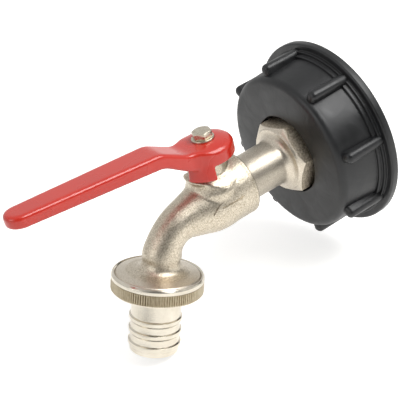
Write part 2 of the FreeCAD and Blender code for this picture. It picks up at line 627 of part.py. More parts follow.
# the skirt that meets the casting's stops, a sector of a cone that leaves the hub's side flush
skirt_cone = doc.addObject("Part::Cone", "skirt_cone")
skirt_cone.Placement = FreeCAD.Placement(Vector(), Rotation(Vector(0, 0, 1), 180))
bind(skirt_cone, Radius1="skirt_rad", Radius2="hub_rad - skirt_sink", Angle="skirt_span",
     Height="hub_base + skirt_overlap - skirt_base", Placement__Base__x="0 - " + STEM_DEPTH,
     Placement__Base__z="skirt_base", Placement__Rotation__Angle="skirt_start")
skirt_bore = cylinder("skirt_bore", "skirt_rad - skirt_wall", "skirt_base - overcut", "hub_base")
keep("lever", cut("lever_cut", joined("lever_joined", softened, cut("skirt", skirt_cone, skirt_bore)),
                  channel, square_hole))

keep("screw_washer", ring(
    "washer", "washer_hole_rad", "washer_rad", "hub_top", WASHER_TOP, "stem"))
SCREW_HEAD_TOP = "( " + WASHER_TOP + " + screw_head_height )"
screw_core = turned("screw_core", [
    ("0", SCREW_TIP), ("screw_rad - screw_lead", SCREW_TIP), ("screw_rad", SCREW_TIP + " + screw_lead"),
    ("screw_rad", WASHER_TOP), ("screw_head_flats", WASHER_TOP),
    ("screw_head_flats", SCREW_HEAD_TOP + " - screw_head_flats / 2 * tan( screw_chamfer )"),
    ("screw_head_flats / 2", SCREW_HEAD_TOP), ("0", SCREW_HEAD_TOP)], "stem")
screw_hex = doc.addObject("Part::Prism", "screw_hex")
screw_hex.Polygon = 6
screw_hex.Placement = FreeCAD.Placement(
    Vector(), Rotation(Vector(0, 0, 1), value("screw_turn")))
bind(screw_hex, Circumradius="screw_head_flats / sqrt( 3 )", Height=SCREW_HEAD_TOP + " + overcut",
     Placement__Base__x="0 - " + STEM_DEPTH)
keep("lever_screw", common("screw", screw_core, screw_hex))

# ---------------------------------------------------------------- union nut and hose tail

keep("union_nut", turned("union", [
    ("outlet_rad + thread_gap", "collar_top"), ("union_rim_rad - union_bevel / 2", "collar_top"),
    ("union_rim_rad", "collar_top + union_bevel"),
    ("union_rad", "collar_top + union_rim_length"), ("union_rad", UNION_BASE + " - union_bevel"),
    ("union_rad - union_bevel", UNION_BASE), ("union_hole_rad", UNION_BASE),
    ("union_hole_rad", TAIL_SEAT), ("outlet_rad + thread_gap", TAIL_SEAT)], "spout"))
keep("union_seal", ring(
    "union_ring", "tail_bore_rad", "tail_flange_rad", COLLAR_BASE, TAIL_TOP, "spout"))

tail_corners = [("tail_bore_rad", TAIL_TOP), ("tail_flange_rad", TAIL_TOP),
                ("tail_flange_rad", TAIL_SEAT), ("tail_rad", TAIL_SEAT)]
for index in range(3):
    crest = UNION_BASE + " + first_barb + barb_pitch * %d" % index
    tail_corners += [("tail_rad", crest + " - barb_rise"), ("barb_rad", crest),
                     ("barb_rad", crest + " + barb_land"),
                     ("tail_rad", crest + " + barb_land + barb_slope")]
TAIL_END = UNION_BASE + " + tail_length"
tail_corners += [("tail_rad", TAIL_END + " - tail_bevel"), ("tail_rad - tail_bevel", TAIL_END),
                 ("tail_bore_rad", TAIL_END)]
keep("hose_tail", turned("tail", tail_corners, "spout"))

# ---------------------------------------------------------------- check and write

doc.recompute()
for item in doc.Objects:
    if "Invalid" in item.State or "Error" in item.State:
        raise RuntimeError("%s failed to compute" % item.Name)
os.makedirs("parts", exist_ok=True)
for label, item in SUB_PARTS.items():
    shape = item.Shape
    if shape.isNull() or not shape.isValid() or not shape.Solids:
        raise RuntimeError("%s has no valid solid" % label)
    shape.exportStep("parts/%s.step" % label)
    print("%-20s solids %d  volume %.1f" % (label, len(shape.Solids), shape.Volume))
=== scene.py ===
import json
import math

import bpy
from mathutils import Matrix, Quaternion, Vector


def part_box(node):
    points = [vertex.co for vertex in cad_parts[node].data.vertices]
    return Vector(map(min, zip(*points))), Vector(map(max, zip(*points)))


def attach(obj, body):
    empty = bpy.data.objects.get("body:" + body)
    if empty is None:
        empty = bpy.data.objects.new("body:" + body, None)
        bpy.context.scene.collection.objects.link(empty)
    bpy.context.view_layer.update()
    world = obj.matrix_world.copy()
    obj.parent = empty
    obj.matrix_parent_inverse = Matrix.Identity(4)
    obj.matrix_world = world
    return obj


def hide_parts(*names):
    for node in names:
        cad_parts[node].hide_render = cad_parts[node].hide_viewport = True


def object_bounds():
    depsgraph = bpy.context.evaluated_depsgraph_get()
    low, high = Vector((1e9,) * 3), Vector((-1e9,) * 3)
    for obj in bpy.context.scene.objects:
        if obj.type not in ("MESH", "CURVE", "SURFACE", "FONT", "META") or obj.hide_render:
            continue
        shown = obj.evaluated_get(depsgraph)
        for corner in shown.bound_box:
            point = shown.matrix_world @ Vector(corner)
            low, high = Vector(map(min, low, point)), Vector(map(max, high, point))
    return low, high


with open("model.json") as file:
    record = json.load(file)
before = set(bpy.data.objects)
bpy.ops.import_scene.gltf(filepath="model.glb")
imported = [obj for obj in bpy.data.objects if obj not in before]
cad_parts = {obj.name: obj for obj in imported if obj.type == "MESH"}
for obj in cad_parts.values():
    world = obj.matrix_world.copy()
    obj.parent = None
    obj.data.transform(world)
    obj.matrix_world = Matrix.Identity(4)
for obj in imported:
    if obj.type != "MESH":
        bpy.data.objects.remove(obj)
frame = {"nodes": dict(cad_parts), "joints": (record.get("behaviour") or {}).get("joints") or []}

cad_low, cad_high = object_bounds()
MM = 0.001

# ---------------------------------------------------------------- tank nut
# The large swivel nut that screws onto the container's outlet, injection moulded in black
# polypropylene: a drafted shell with a flange at its mouth, two low steps beside it, eight
# round-nosed grip ribs and one and a quarter turns of coarse thread inside.
NUT_STEPS = 192
THREAD_RADIUS = 30.0
THREAD_DEPTH = 12.4
CHAMBER_RADIUS = 28.6
NUT_HOLE = 16.67
WALL_BACK = 18.6
FLANGE_THICKNESS = 3.6
FLANGE_EDGE = 0.9
UPPER_STEP = (36.6, 4.9)
LOWER_STEP = (35.3, 6.5)
SIDE_FOOT = 34.15
SIDE_TOP = 33.1
SMALL_EDGE = 0.3
RIB_COUNT = 8
RIB_TURN = 12.0
RIB_WIDTH = 4.6
RIB_TOP = 37.4
RIB_ROOT = 31.5
RIB_ROUND = 2.1
RIB_FOOT = 1.8
RIB_NOSE = 21.4
THREAD_CREST = 28.5
THREAD_SUNK = 30.3
THREAD_PITCH = 6.0
THREAD_TURNS = 1.25
THREAD_START = 2.5


def linear(code):
    """An sRGB hex colour as the linear colour that a shader takes."""
    shares = [int(code[start:start + 2], 16) / 255 for start in (1, 3, 5)]
    return [s / 12.92 if s <= 0.04045 else ((s + 0.055) / 1.055) ** 2.4 for s in shares] + [1]


def add(tree, kind, inputs=None, **settings):
    """Add a node with its settings; an input takes a value, another node or an output."""
    made = tree.nodes.new(kind)
    for name, setting in settings.items():
        setattr(made, name, setting)
    for socket, source in (inputs or {}).items():
        if isinstance(source, bpy.types.Node):
            source = next(output for output in source.outputs if output.enabled)
        if isinstance(source, bpy.types.NodeSocket):
            tree.links.new(source, made.inputs[socket])
        else:
            made.inputs[socket].default_value = source
    return made


def new_material(name):
    """An empty material, its node tree and the coordinates that its patterns follow."""
    material = bpy.data.materials.new(name)
    material.use_nodes = True
    material.node_tree.nodes.clear()
    place = add(material.node_tree, "ShaderNodeTexCoord").outputs["Object"]
    return material, material.node_tree, place


def black_polypropylene():
    """Moulded polypropylene: near black, half gloss, with flow marks in its sheen."""
    material, tree, place = new_material("moulded_black_polypropylene")
    flow = add(tree, "ShaderNodeTexNoise", {
        "Vector": place, "Scale": 1 / (8 * MM), "Detail": 2, "Distortion": 0.7})
    grain = add(tree, "ShaderNodeTexNoise", {"Vector": place, "Scale": 1 / (0.6 * MM), "Detail": 2})
    colour = add(tree, "ShaderNodeMix", {
        "Factor": flow, "A": linear("#0B0C0D"), "B": linear("#17181A")}, data_type="RGBA")
    gloss = add(tree, "ShaderNodeMapRange", {
        "Value": flow, "From Min": 0.3, "From Max": 0.7, "To Min": 0.34, "To Max": 0.48})
    waves = add(tree, "ShaderNodeBump", {"Height": flow, "Distance": 0.3 * MM, "Strength": 0.5})
    rough = add(tree, "ShaderNodeBump", {
        "Height": grain, "Distance": 0.02 * MM, "Strength": 0.6, "Normal": waves})
    skin = add(tree, "ShaderNodeBsdfPrincipled", {
        "Base Color": colour, "Roughness": gloss, "IOR": 1.49, "Normal": rough})
    add(tree, "ShaderNodeOutputMaterial", {"Surface": skin})
    return material


def only(piece):
    """Select one piece and make it the active one."""
    bpy.ops.object.select_all(action="DESELECT")
    piece.select_set(True)
    bpy.context.view_layer.objects.active = piece
    return piece


def outline(corners, steps=5):
    """Points of a profile; a corner is (radius, height) or (radius, height, rounding)."""
    points = []
    for index, corner in enumerate(corners):
        here = Vector(corner[:2])
        if len(corner) == 2:
            points.append(here)
            continue
        back = (Vector(corners[index - 1][:2]) - here).normalized()
        on = (Vector(corners[(index + 1) % len(corners)][:2]) - here).normalized()
        half = back.angle(on) / 2
        centre = here + (back + on).normalized() * corner[2] / math.sin(half)
        arm = here + back * corner[2] / math.tan(half) - centre
        turn = -arm.angle_signed(here + on * corner[2] / math.tan(half) - centre)
        for step in range(steps + 1):
            points.append(centre + Matrix.Rotation(turn * step / steps, 2) @ arm)
    return points


def drawn(corners):
    """Draw a closed profile in millimetres on the XZ plane by extruding one point along it."""
    points = [Vector((point.x, 0, point.y)) * MM for point in outline(corners)]
    bpy.ops.object.select_all(action="DESELECT")
    bpy.ops.mesh.primitive_plane_add(size=MM)
    bpy.ops.object.mode_set(mode="EDIT")
    bpy.ops.mesh.select_mode(type="VERT")
    bpy.ops.mesh.merge(type="CENTER")
    bpy.ops.transform.translate(value=points[0])
    for start, end in zip(points, points[1:] + points[:1]):
        bpy.ops.mesh.extrude_region_move(TRANSFORM_OT_translate={"value": end - start})
    bpy.ops.mesh.select_all(action="SELECT")
    return bpy.context.object


def closed(piece):
    """Merge the doubles of the mesh in edit mode, turn its faces outwards and leave it."""
    bpy.ops.mesh.select_all(action="SELECT")
    bpy.ops.mesh.remove_doubles(threshold=MM / 1000)
    bpy.ops.mesh.normals_make_consistent(inside=False)
    bpy.ops.object.mode_set(mode="OBJECT")
    return piece


def set_in(piece, place):
    """Move a piece into one of the assembly's frames, with its place in its mesh."""
    only(piece).matrix_world = place
    bpy.ops.object.transform_apply(location=True, rotation=True, scale=True)
    return piece


def turned(corners, place, steps=160):
    """Turn a profile of (radius, height) about Z and set it in a frame."""
    piece = drawn(corners)
    bpy.ops.mesh.spin(steps=steps, angle=2 * math.pi, center=(0, 0, 0), axis=(0, 0, 1))
    return set_in(closed(piece), place)


def pick(piece, kind, chosen):
    """Go into edit mode with only those items selected whose middle passes a test."""
    only(piece)
    bpy.ops.object.mode_set(mode="EDIT")
    bpy.ops.mesh.select_mode(type=kind)
    bpy.ops.mesh.select_all(action="DESELECT")
    bpy.ops.object.mode_set(mode="OBJECT")
    spots = [vertex.co for vertex in piece.data.vertices]
    for item in {"VERT": piece.data.vertices, "EDGE": piece.data.edges}[kind]:
        ends = [item.index] if kind == "VERT" else item.vertices
        item.select = chosen(sum((spots[end] for end in ends), Vector()) / len(ends))
    bpy.ops.object.mode_set(mode="EDIT")


def modified(piece, kind, **settings):
    """Add a modifier to a piece and apply it."""
    only(piece)
    modifier = piece.modifiers.new(kind.title(), kind)
    for name, setting in settings.items():
        setattr(modifier, name, setting)
    bpy.ops.object.modifier_apply(modifier=modifier.name)
    return piece


def cut_with(piece, tool, operation="DIFFERENCE"):
    """A boolean with a tool that is thrown away afterwards."""
    modified(piece, "BOOLEAN", object=tool, operation=operation, solver="EXACT")
    bpy.data.objects.remove(tool)
    return piece


def joined(pieces):
    """Join pieces into the first of them."""
    only(pieces[0])
    for piece in pieces:
        piece.select_set(True)
    bpy.ops.object.join()
    return pieces[0]


def copied(piece, place):
    """A copy of a piece with its own mesh, set in a frame."""
    copy = bpy.data.objects.new(piece.name, piece.data.copy())
    bpy.context.scene.collection.objects.link(copy)
    return set_in(copy, place)


def finished(piece, name, material, body, slot, *replaced, angle=32):
    """Name and shade a piece, say which body it moves with, and hide the solids it stands for."""
    only(piece)
    bpy.ops.object.shade_smooth_by_angle(angle=math.radians(angle))
    piece.name = piece.data.name = name
    piece.data.materials.clear()
    piece.data.materials.append(material)
    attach(piece, body)
    if replaced:
        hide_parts(*replaced)
    return piece


# depths run from the nut's mouth into the valve, so local Z points along -X
pipe = Matrix.Rotation(math.radians(-90), 4, "Y")
nut_low, nut_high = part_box("tank_nut")
nut_length = -nut_low.x / MM
flange = nut_high.z / MM
nut = turned([
    (THREAD_RADIUS, 0, 0.5), (flange, 0, FLANGE_EDGE), (flange, FLANGE_THICKNESS, FLANGE_EDGE),
    (UPPER_STEP[0], FLANGE_THICKNESS, SMALL_EDGE), (*UPPER_STEP, SMALL_EDGE),
    (LOWER_STEP[0], UPPER_STEP[1], SMALL_EDGE), (*LOWER_STEP, 0.4),
    (SIDE_FOOT, LOWER_STEP[1], SMALL_EDGE), (SIDE_TOP, nut_length, 3.0),
    (NUT_HOLE, nut_length, 0.5), (NUT_HOLE, WALL_BACK), (CHAMBER_RADIUS, WALL_BACK),
    (CHAMBER_RADIUS, THREAD_DEPTH), (THREAD_RADIUS, THREAD_DEPTH)], pipe, NUT_STEPS)
bpy.ops.object.select_all(action="DESELECT")
bpy.ops.mesh.primitive_cube_add(size=MM)
rib = bpy.context.object
bpy.ops.object.mode_set(mode="EDIT")
bpy.ops.transform.resize(value=(RIB_TOP - RIB_ROOT, RIB_WIDTH, RIB_NOSE - RIB_FOOT))
bpy.ops.transform.translate(value=Vector((RIB_TOP + RIB_ROOT, 0, RIB_NOSE + RIB_FOOT)) / 2 * MM)
bpy.ops.object.mode_set(mode="OBJECT")
pick(rib, "EDGE", lambda middle: (middle.x > (RIB_TOP - 0.1) * MM and middle.z > (RIB_FOOT + 0.1) * MM)
     or (middle.z > (RIB_NOSE - 0.1) * MM and middle.x > (RIB_ROOT + 0.1) * MM))
bpy.ops.mesh.bevel(offset=RIB_ROUND * MM, segments=6, affect="EDGES")
closed(rib)
ribs = []
for index in range(RIB_COUNT):
    turn = math.radians(360 / RIB_COUNT * index)
    ribs.append(copied(rib, Matrix.Rotation(math.radians(-RIB_TURN), 4, "X") @ pipe
                       @ Matrix.Rotation(turn, 4, "Z")))
bpy.data.objects.remove(rib)
cut_with(nut, joined(ribs), "UNION")
thread = drawn([(THREAD_SUNK, -2.4), (THREAD_CREST, -0.9, SMALL_EDGE),
                (THREAD_CREST, 0.9, SMALL_EDGE), (THREAD_SUNK, 2.4)])
bpy.ops.transform.translate(value=(0, 0, THREAD_START * MM))
closed(thread)
modified(thread, "SCREW", angle=2 * math.pi * THREAD_TURNS, axis="Z", steps=NUT_STEPS,
         render_steps=NUT_STEPS, screw_offset=THREAD_PITCH * THREAD_TURNS * MM)
only(thread)
bpy.ops.object.mode_set(mode="EDIT")
bpy.ops.mesh.select_all(action="SELECT")
# close the two ends of the thread's ridge
bpy.ops.mesh.fill_holes(sides=24)
set_in(closed(thread), pipe)
joined([nut, thread])
polypropylene = black_polypropylene()
finished(nut, "moulded_tank_nut", polypropylene, "tank_nut", "black_plastic", "tank_nut")

# ---------------------------------------------------------------- insert and its seals
# The plastic disc that the nut pulls against the tank, with the rubber ring that seals it on
# the tank's outlet and a thin one that seals the connector's hexagon on its face.
SEAL_HOLE = 18.0
INSERT_BOSS_RADIUS = 17.6
CONNECTOR_HOLE = 13.27


def black_rubber():
    """Moulded nitrile rubber: soft black with a dry, slightly dusty face."""
    material, tree, place = new_material("moulded_nitrile_rubber")
    dust = add(tree, "ShaderNodeTexNoise", {"Vector": place, "Scale": 1 / (3 * MM), "Detail": 4})
    grain = add(tree, "ShaderNodeTexNoise", {"Vector": place, "Scale": 1 / (0.4 * MM), "Detail": 2})
    share = add(tree, "ShaderNodeMapRange", {"Value": dust, "From Min": 0.4, "From Max": 0.75})
    colour = add(tree, "ShaderNodeMix", {
        "Factor": share, "A": linear("#1A1A1B"), "B": linear("#2C2B2A")}, data_type="RGBA")
    rough = add(tree, "ShaderNodeBump", {"Height": grain, "Distance": 0.03 * MM, "Strength": 0.7})
    skin = add(tree, "ShaderNodeBsdfPrincipled", {
        "Base Color": colour, "Roughness": 0.62, "IOR": 1.52, "Normal": rough})
    add(tree, "ShaderNodeOutputMaterial", {"Surface": skin})
    return material


insert_low, insert_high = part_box("tank_insert")
insert_back = -insert_high.x / MM
insert_front = -insert_low.x / MM
insert_radius = insert_high.z / MM
tank_seal_low, tank_seal_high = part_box("tank_seal")
insert_face = -tank_seal_low.x / MM
seal_back = -tank_seal_high.x / MM
insert = turned([
    (CONNECTOR_HOLE, insert_back), (INSERT_BOSS_RADIUS, insert_back, 0.5),
    (INSERT_BOSS_RADIUS, insert_face, 0.3),
    (insert_radius, insert_face, 0.3), (insert_radius, insert_front, 0.4),
    (CONNECTOR_HOLE, insert_front)], pipe)
finished(insert, "tank_insert_disc", polypropylene, "tap", "black_plastic", "tank_insert")
rubber = black_rubber()
tank_seal = turned([
    (SEAL_HOLE, seal_back, 0.4), (insert_radius, seal_back, 0.4),
    (insert_radius, insert_face, 0.4), (SEAL_HOLE, insert_face, 0.4)], pipe)
finished(tank_seal, "tank_seal_ring", rubber, "tap", "rubber", "tank_seal")


def dressed(node, material):
    """Give a solid that keeps its shape its material."""
    solid = frame["nodes"][node]
    solid.data.materials.clear()
    solid.data.materials.append(material)


dressed("connector_seal", rubber)

# ---------------------------------------------------------------- inlet connector
# A turned and milled brass connector, nickel plated: a hexagon for the spanner, left rough on
# its flats, that runs out in a curved flare to a round neck. Its tank end is screwed into the
# plastic insert, and its neck into the tap body.
HEX_FLATS = 27.6
HEX_LENGTH = 9.0
HEX_TURN = 38.5
HEX_CORNER_RUN = 8.8
SHOULDER = 13.5
TANK_END_RADIUS = 13.2
NECK_RADIUS = 9.3
NECK_STEP = 0.8
FLARE = 3.4
SEAT_END_RADIUS = 8.05
BORE_RADIUS = 6.0
BAR_LENGTH = 80.0


def satin_nickel():
    """Nickel plate over tumbled, machined brass: warm grey, satin, with faint cutter grain."""
    material, tree, place = new_material("satin_nickel_plate")
    fine = add(tree, "ShaderNodeTexNoise", {
        "Vector": place, "Scale": 1 / (0.35 * MM), "Detail": 3, "Roughness": 0.5})
    patches = add(tree, "ShaderNodeTexNoise", {"Vector": place, "Scale": 1 / (6 * MM), "Detail": 2})
    share = add(tree, "ShaderNodeMapRange", {"Value": fine, "From Min": 0.3, "From Max": 0.7})
    colour = add(tree, "ShaderNodeMix", {
        "Factor": share, "A": linear("#B5AA98"), "B": linear("#DBD3C5")}, data_type="RGBA")
    gloss = add(tree, "ShaderNodeMapRange", {
        "Value": patches, "From Min": 0.3, "From Max": 0.7, "To Min": 0.30, "To Max": 0.42})
    rough = add(tree, "ShaderNodeBump", {"Height": fine, "Distance": 0.06 * MM})
    skin = add(tree, "ShaderNodeBsdfPrincipled", {
        "Base Color": colour, "Metallic": 1.0, "Roughness": gloss, "Normal": rough})
    add(tree, "ShaderNodeOutputMaterial", {"Surface": skin})
    return material


def rough_nickel():
    """Nickel plate over a forged face that was left unmachined: pitted and dull."""
    material, tree, place = new_material("nickel_plate_on_forging")
    pits = add(tree, "ShaderNodeTexVoronoi", {"Vector": place, "Scale": 1 / (0.9 * MM)})
    fine = add(tree, "ShaderNodeTexNoise", {"Vector": place, "Scale": 1 / (0.7 * MM), "Detail": 4})
    share = add(tree, "ShaderNodeMapRange", {"Value": fine, "From Min": 0.35, "From Max": 0.65})
    colour = add(tree, "ShaderNodeMix", {
        "Factor": share, "A": linear("#B3A58E"), "B": linear("#E3D8C6")}, data_type="RGBA")
    dents = add(tree, "ShaderNodeBump", {"Height": pits, "Distance": 0.16 * MM, "Strength": 0.8})
    rough = add(tree, "ShaderNodeBump", {"Height": fine, "Distance": 0.16 * MM, "Normal": dents})
    skin = add(tree, "ShaderNodeBsdfPrincipled", {
        "Base Color": colour, "Metallic": 1.0, "Roughness": 0.55, "Normal": rough})
    add(tree, "ShaderNodeOutputMaterial", {"Surface": skin})
    return material


connector_low, connector_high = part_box("inlet_connector")
tank_end = -connector_high.x / MM
seat_end = -connector_low.x / MM
hex_back = -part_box("connector_seal")[0].x / MM
hex_front = hex_back + HEX_LENGTH
body_end = -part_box("tap_body")[1].x / MM
sleeve_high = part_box("body_seal")[1]
sleeve_end = -sleeve_high.x / MM
sleeve_radius = sleeve_high.z / MM
connector = turned([
    (BORE_RADIUS, tank_end, 0.6), (TANK_END_RADIUS, tank_end, 0.5), (TANK_END_RADIUS, hex_back),
    (HEX_FLATS, hex_back), (HEX_FLATS, hex_front - HEX_CORNER_RUN),
    (SHOULDER, hex_front - 0.7, 0.5),
    (NECK_RADIUS + FLARE + 0.4, hex_front, 0.4), (NECK_RADIUS, hex_front + 0.5, FLARE),
    (NECK_RADIUS, body_end + NECK_STEP), (sleeve_radius, body_end + NECK_STEP),
    (sleeve_radius, sleeve_end), (SEAT_END_RADIUS, sleeve_end), (SEAT_END_RADIUS, seat_end),
    (BORE_RADIUS, seat_end)], pipe, NUT_STEPS)


def milled(piece, flats, place, edge):
    """Mill a hexagon on a turned piece: flats across, about a frame's Z, with broken edges."""
    bpy.ops.mesh.primitive_cylinder_add(
        vertices=6, radius=flats / math.sqrt(3) * MM, depth=BAR_LENGTH * MM)
    cut_with(piece, set_in(bpy.context.object, place), "INTERSECT")
    modified(piece, "BEVEL", width=edge * MM, segments=2, limit_method="ANGLE",
             angle_limit=math.radians(25))


hex_middle = Matrix.Translation((-BAR_LENGTH / 2 * MM, 0, 0))
milled(connector, HEX_FLATS,
       hex_middle @ Matrix.Rotation(math.radians(-HEX_TURN - 30), 4, "X") @ pipe, 0.25)
finished(connector, "hexagon_connector", satin_nickel(), "tap", "nickel", "inlet_connector")
# the flats alone, which no cutter dressed, take the rough plate
connector.data.materials.append(rough_nickel())
for face in connector.data.polygons:
    radial = Vector((0, face.center.y, face.center.z))
    if radial.length > HEX_FLATS / 2 * MM and abs(face.normal.x) < 0.02:
        face.material_index = 1

# ---------------------------------------------------------------- tap body
# A hollow brass casting, shot blasted and nickel plated, with its end ring and outlet collar
# turned afterwards. The barrel runs into the bent spout in one soft form, and a raised arrow
# on its side shows which way the water flows.
CAST_VOXEL = 0.42
CAST_SMOOTHING = 16
ARROW_RELIEF = 0.5
ARROW_PLACE = (-61.5, -25, -0.3)
ARROW_SLOPE = math.radians(-7)
ARROW_TIP = -7.5
ARROW_NECK = -3.0
ARROW_END = 6.5
HEAD_HALF = 3.1
SHAFT_HALF = 1.2
SHOULDER_RADIUS = 13.1
SHOULDER_REACH = 30
BOSS_RADIUS = 6.6
BOSS_TOP = 17.2
END_RADIUS = 13.02
END_BORE = 11.05
END_LENGTH = 1.6
COLLAR_TOP = 18.5
COLLAR_LENGTH = 4.0
COLLAR_RADIUS = 16.56
COLLAR_BORE = 12.6


def cast_nickel():
    """Nickel plate over shot-blasted casting: warm grey, granular, with darker hollows."""
    material, tree, place = new_material("nickel_plate_on_casting")
    shot = add(tree, "ShaderNodeTexNoise", {
        "Vector": place, "Scale": 1 / (0.5 * MM), "Detail": 3, "Roughness": 0.6})
    waves = add(tree, "ShaderNodeTexNoise", {"Vector": place, "Scale": 1 / (3 * MM), "Detail": 2})
    share = add(tree, "ShaderNodeMapRange", {"Value": shot, "From Min": 0.32, "From Max": 0.68})
    colour = add(tree, "ShaderNodeMix", {
        "Factor": share, "A": linear("#9F937F"), "B": linear("#DDD4C3")}, data_type="RGBA")
    gloss = add(tree, "ShaderNodeMapRange", {
        "Value": waves, "From Min": 0.3, "From Max": 0.7, "To Min": 0.30, "To Max": 0.42})
    lumps = add(tree, "ShaderNodeBump", {"Height": waves, "Distance": 0.12 * MM, "Strength": 0.6})
    rough = add(tree, "ShaderNodeBump", {"Height": shot, "Distance": 0.14 * MM, "Normal": lumps})
    skin = add(tree, "ShaderNodeBsdfPrincipled", {
        "Base Color": colour, "Metallic": 1.0, "Roughness": gloss, "Normal": rough})
    add(tree, "ShaderNodeOutputMaterial", {"Surface": skin})
    return material


def copy_of(node):
    """A copy of a CAD solid as one merged mesh."""
    piece = bpy.data.objects.new(node + "_copy", frame["nodes"][node].data.copy())
    bpy.context.scene.collection.objects.link(piece)
    only(piece)
    bpy.ops.object.mode_set(mode="EDIT")
    bpy.ops.mesh.select_all(action="SELECT")
    bpy.ops.mesh.remove_doubles(threshold=MM / 100)
    bpy.ops.object.mode_set(mode="OBJECT")
    return piece


joints = {joint["name"]: joint for joint in frame["joints"]}
casting = copy_of("tap_body")
# round the stem the casting keeps to the barrel's own round, with only the boss above it
stem = Matrix.Translation(joints["lever_turn"]["pos_m"])
stem_depth = -stem.translation.x / MM
shoulder = turned([
    (SHOULDER_RADIUS, body_end - 1), (SHOULDER_REACH, body_end - 1),
    (SHOULDER_REACH, stem_depth + 13), (SHOULDER_RADIUS, stem_depth + 13)], pipe, 128)
boss = turned([(0, -SHOULDER_REACH), (BOSS_RADIUS, -SHOULDER_REACH), (BOSS_RADIUS, BOSS_TOP),
               (0, BOSS_TOP)], stem, 96)
cut_with(shoulder, boss)
# the trim stops at the pipe's axis, so a block takes the tool's lower half away
bpy.ops.mesh.primitive_cube_add(
    size=BAR_LENGTH * MM, location=(stem.translation.x, 0, -BAR_LENGTH / 2 * MM))
cut_with(shoulder, set_in(bpy.context.object, bpy.context.object.matrix_world.copy()))
cut_with(casting, shoulder)
modified(casting, "REMESH", mode="VOXEL", voxel_size=CAST_VOXEL * MM)
modified(casting, "SMOOTH", factor=0.5, iterations=CAST_SMOOTHING)
# the arrow is drawn flat beside the barrel, pressed onto its side and then thickened
arrow = drawn([
    (ARROW_TIP, 0, 0.3), (ARROW_NECK, -HEAD_HALF, 0.3), (ARROW_NECK, -SHAFT_HALF),
    (ARROW_END, -SHAFT_HALF, 0.3), (ARROW_END, SHAFT_HALF, 0.3), (ARROW_NECK, SHAFT_HALF),
    (ARROW_NECK, HEAD_HALF, 0.3)])
bpy.ops.mesh.remove_doubles(threshold=MM / 1000)
bpy.ops.mesh.edge_face_add()
bpy.ops.mesh.quads_convert_to_tris()
bpy.ops.mesh.subdivide(number_cuts=5)
bpy.ops.object.mode_set(mode="OBJECT")
set_in(arrow, Matrix.Translation(Vector(ARROW_PLACE) * MM) @ Matrix.Rotation(ARROW_SLOPE, 4, "Y"))
modified(arrow, "SHRINKWRAP", target=casting, wrap_method="PROJECT", use_project_y=True)
modified(arrow, "SOLIDIFY", thickness=ARROW_RELIEF * 2 * MM, offset=0)
modified(arrow, "BEVEL", width=0.3 * MM, segments=3, limit_method="ANGLE",
         angle_limit=math.radians(50))
joined([casting, arrow])
blasted = cast_nickel()
finished(casting, "cast_tap_body", blasted, "tap", "cast_nickel", "tap_body", angle=60)
end_ring = turned([
    (END_BORE, body_end, 0.3), (END_RADIUS, body_end, 0.8),
    (END_RADIUS, body_end + END_LENGTH, 0.2), (END_BORE, body_end + END_LENGTH)], pipe)
finished(end_ring, "body_end_ring", blasted, "tap", "cast_nickel")

# the outlet's frame: local Z runs down the spout from where its axis meets the pipe's
down = Vector(joints["union_nut_turn"]["axis"])
spout = (Matrix.Translation(joints["union_nut_turn"]["pos_m"])
         @ down.to_track_quat("Z", "Y").to_matrix().to_4x4())
collar_base = COLLAR_TOP + COLLAR_LENGTH
collar = turned([
    (COLLAR_BORE, COLLAR_TOP - 0.62), (COLLAR_RADIUS - 0.5, COLLAR_TOP, 0.3),
    (COLLAR_RADIUS, COLLAR_TOP + 0.6, 0.3), (COLLAR_RADIUS, collar_base),
    (COLLAR_BORE, collar_base)], spout)
finished(collar, "outlet_collar_rim", satin_nickel(), "tap", "cast_nickel")

# ---------------------------------------------------------------- ball, seats and stem
# The working parts inside: a plated ball between two plastic seats, and the brass stem that
# turns it, with two O-rings and a thrust washer under its collar.


def polished_chrome():
    """Hard chrome on a ground ball: mirror bright, with the finest wear lines."""
    material, tree, place = new_material("polished_chrome_plate")
    wear = add(tree, "ShaderNodeTexNoise", {"Vector": place, "Scale": 1 / (1.5 * MM), "Detail": 5})
    gloss = add(tree, "ShaderNodeMapRange", {
        "Value": wear, "From Min": 0.3, "From Max": 0.7, "To Min": 0.05, "To Max": 0.14})
    skin = add(tree, "ShaderNodeBsdfPrincipled", {
        "Base Color": linear("#D5D6D8"), "Metallic": 1.0, "Roughness": gloss})
    add(tree, "ShaderNodeOutputMaterial", {"Surface": skin})
    return material


def turned_brass():
    """Free-cutting brass as it leaves the lathe: yellow, with fine rings about its axis."""
    material, tree, place = new_material("turned_brass")
    height = add(tree, "ShaderNodeSeparateXYZ", {"Vector": place}).outputs["Z"]
    rings = add(tree, "ShaderNodeTexNoise", {
        "W": height, "Scale": 1 / (0.2 * MM), "Detail": 2}, noise_dimensions="1D")
    share = add(tree, "ShaderNodeMapRange", {"Value": rings, "From Min": 0.3, "From Max": 0.7})
    colour = add(tree, "ShaderNodeMix", {
        "Factor": share, "A": linear("#B08D48"), "B": linear("#D2B36A")}, data_type="RGBA")
    lines = add(tree, "ShaderNodeBump", {"Height": rings, "Distance": 0.02 * MM})
    skin = add(tree, "ShaderNodeBsdfPrincipled", {
        "Base Color": colour, "Metallic": 1.0, "Roughness": 0.3, "Normal": lines})
    add(tree, "ShaderNodeOutputMaterial", {"Surface": skin})
    return material


def white_ptfe():
    """Machined PTFE: waxy white, without gloss."""
    material, tree, place = new_material("machined_ptfe")
    cloud = add(tree, "ShaderNodeTexNoise", {"Vector": place, "Scale": 1 / (2 * MM), "Detail": 3})
    colour = add(tree, "ShaderNodeMix", {
        "Factor": cloud, "A": linear("#E4E2DC"), "B": linear("#F3F2EE")}, data_type="RGBA")
    skin = add(tree, "ShaderNodeBsdfPrincipled", {
        "Base Color": colour, "Roughness": 0.5, "IOR": 1.35})
    add(tree, "ShaderNodeOutputMaterial", {"Surface": skin})
    return material


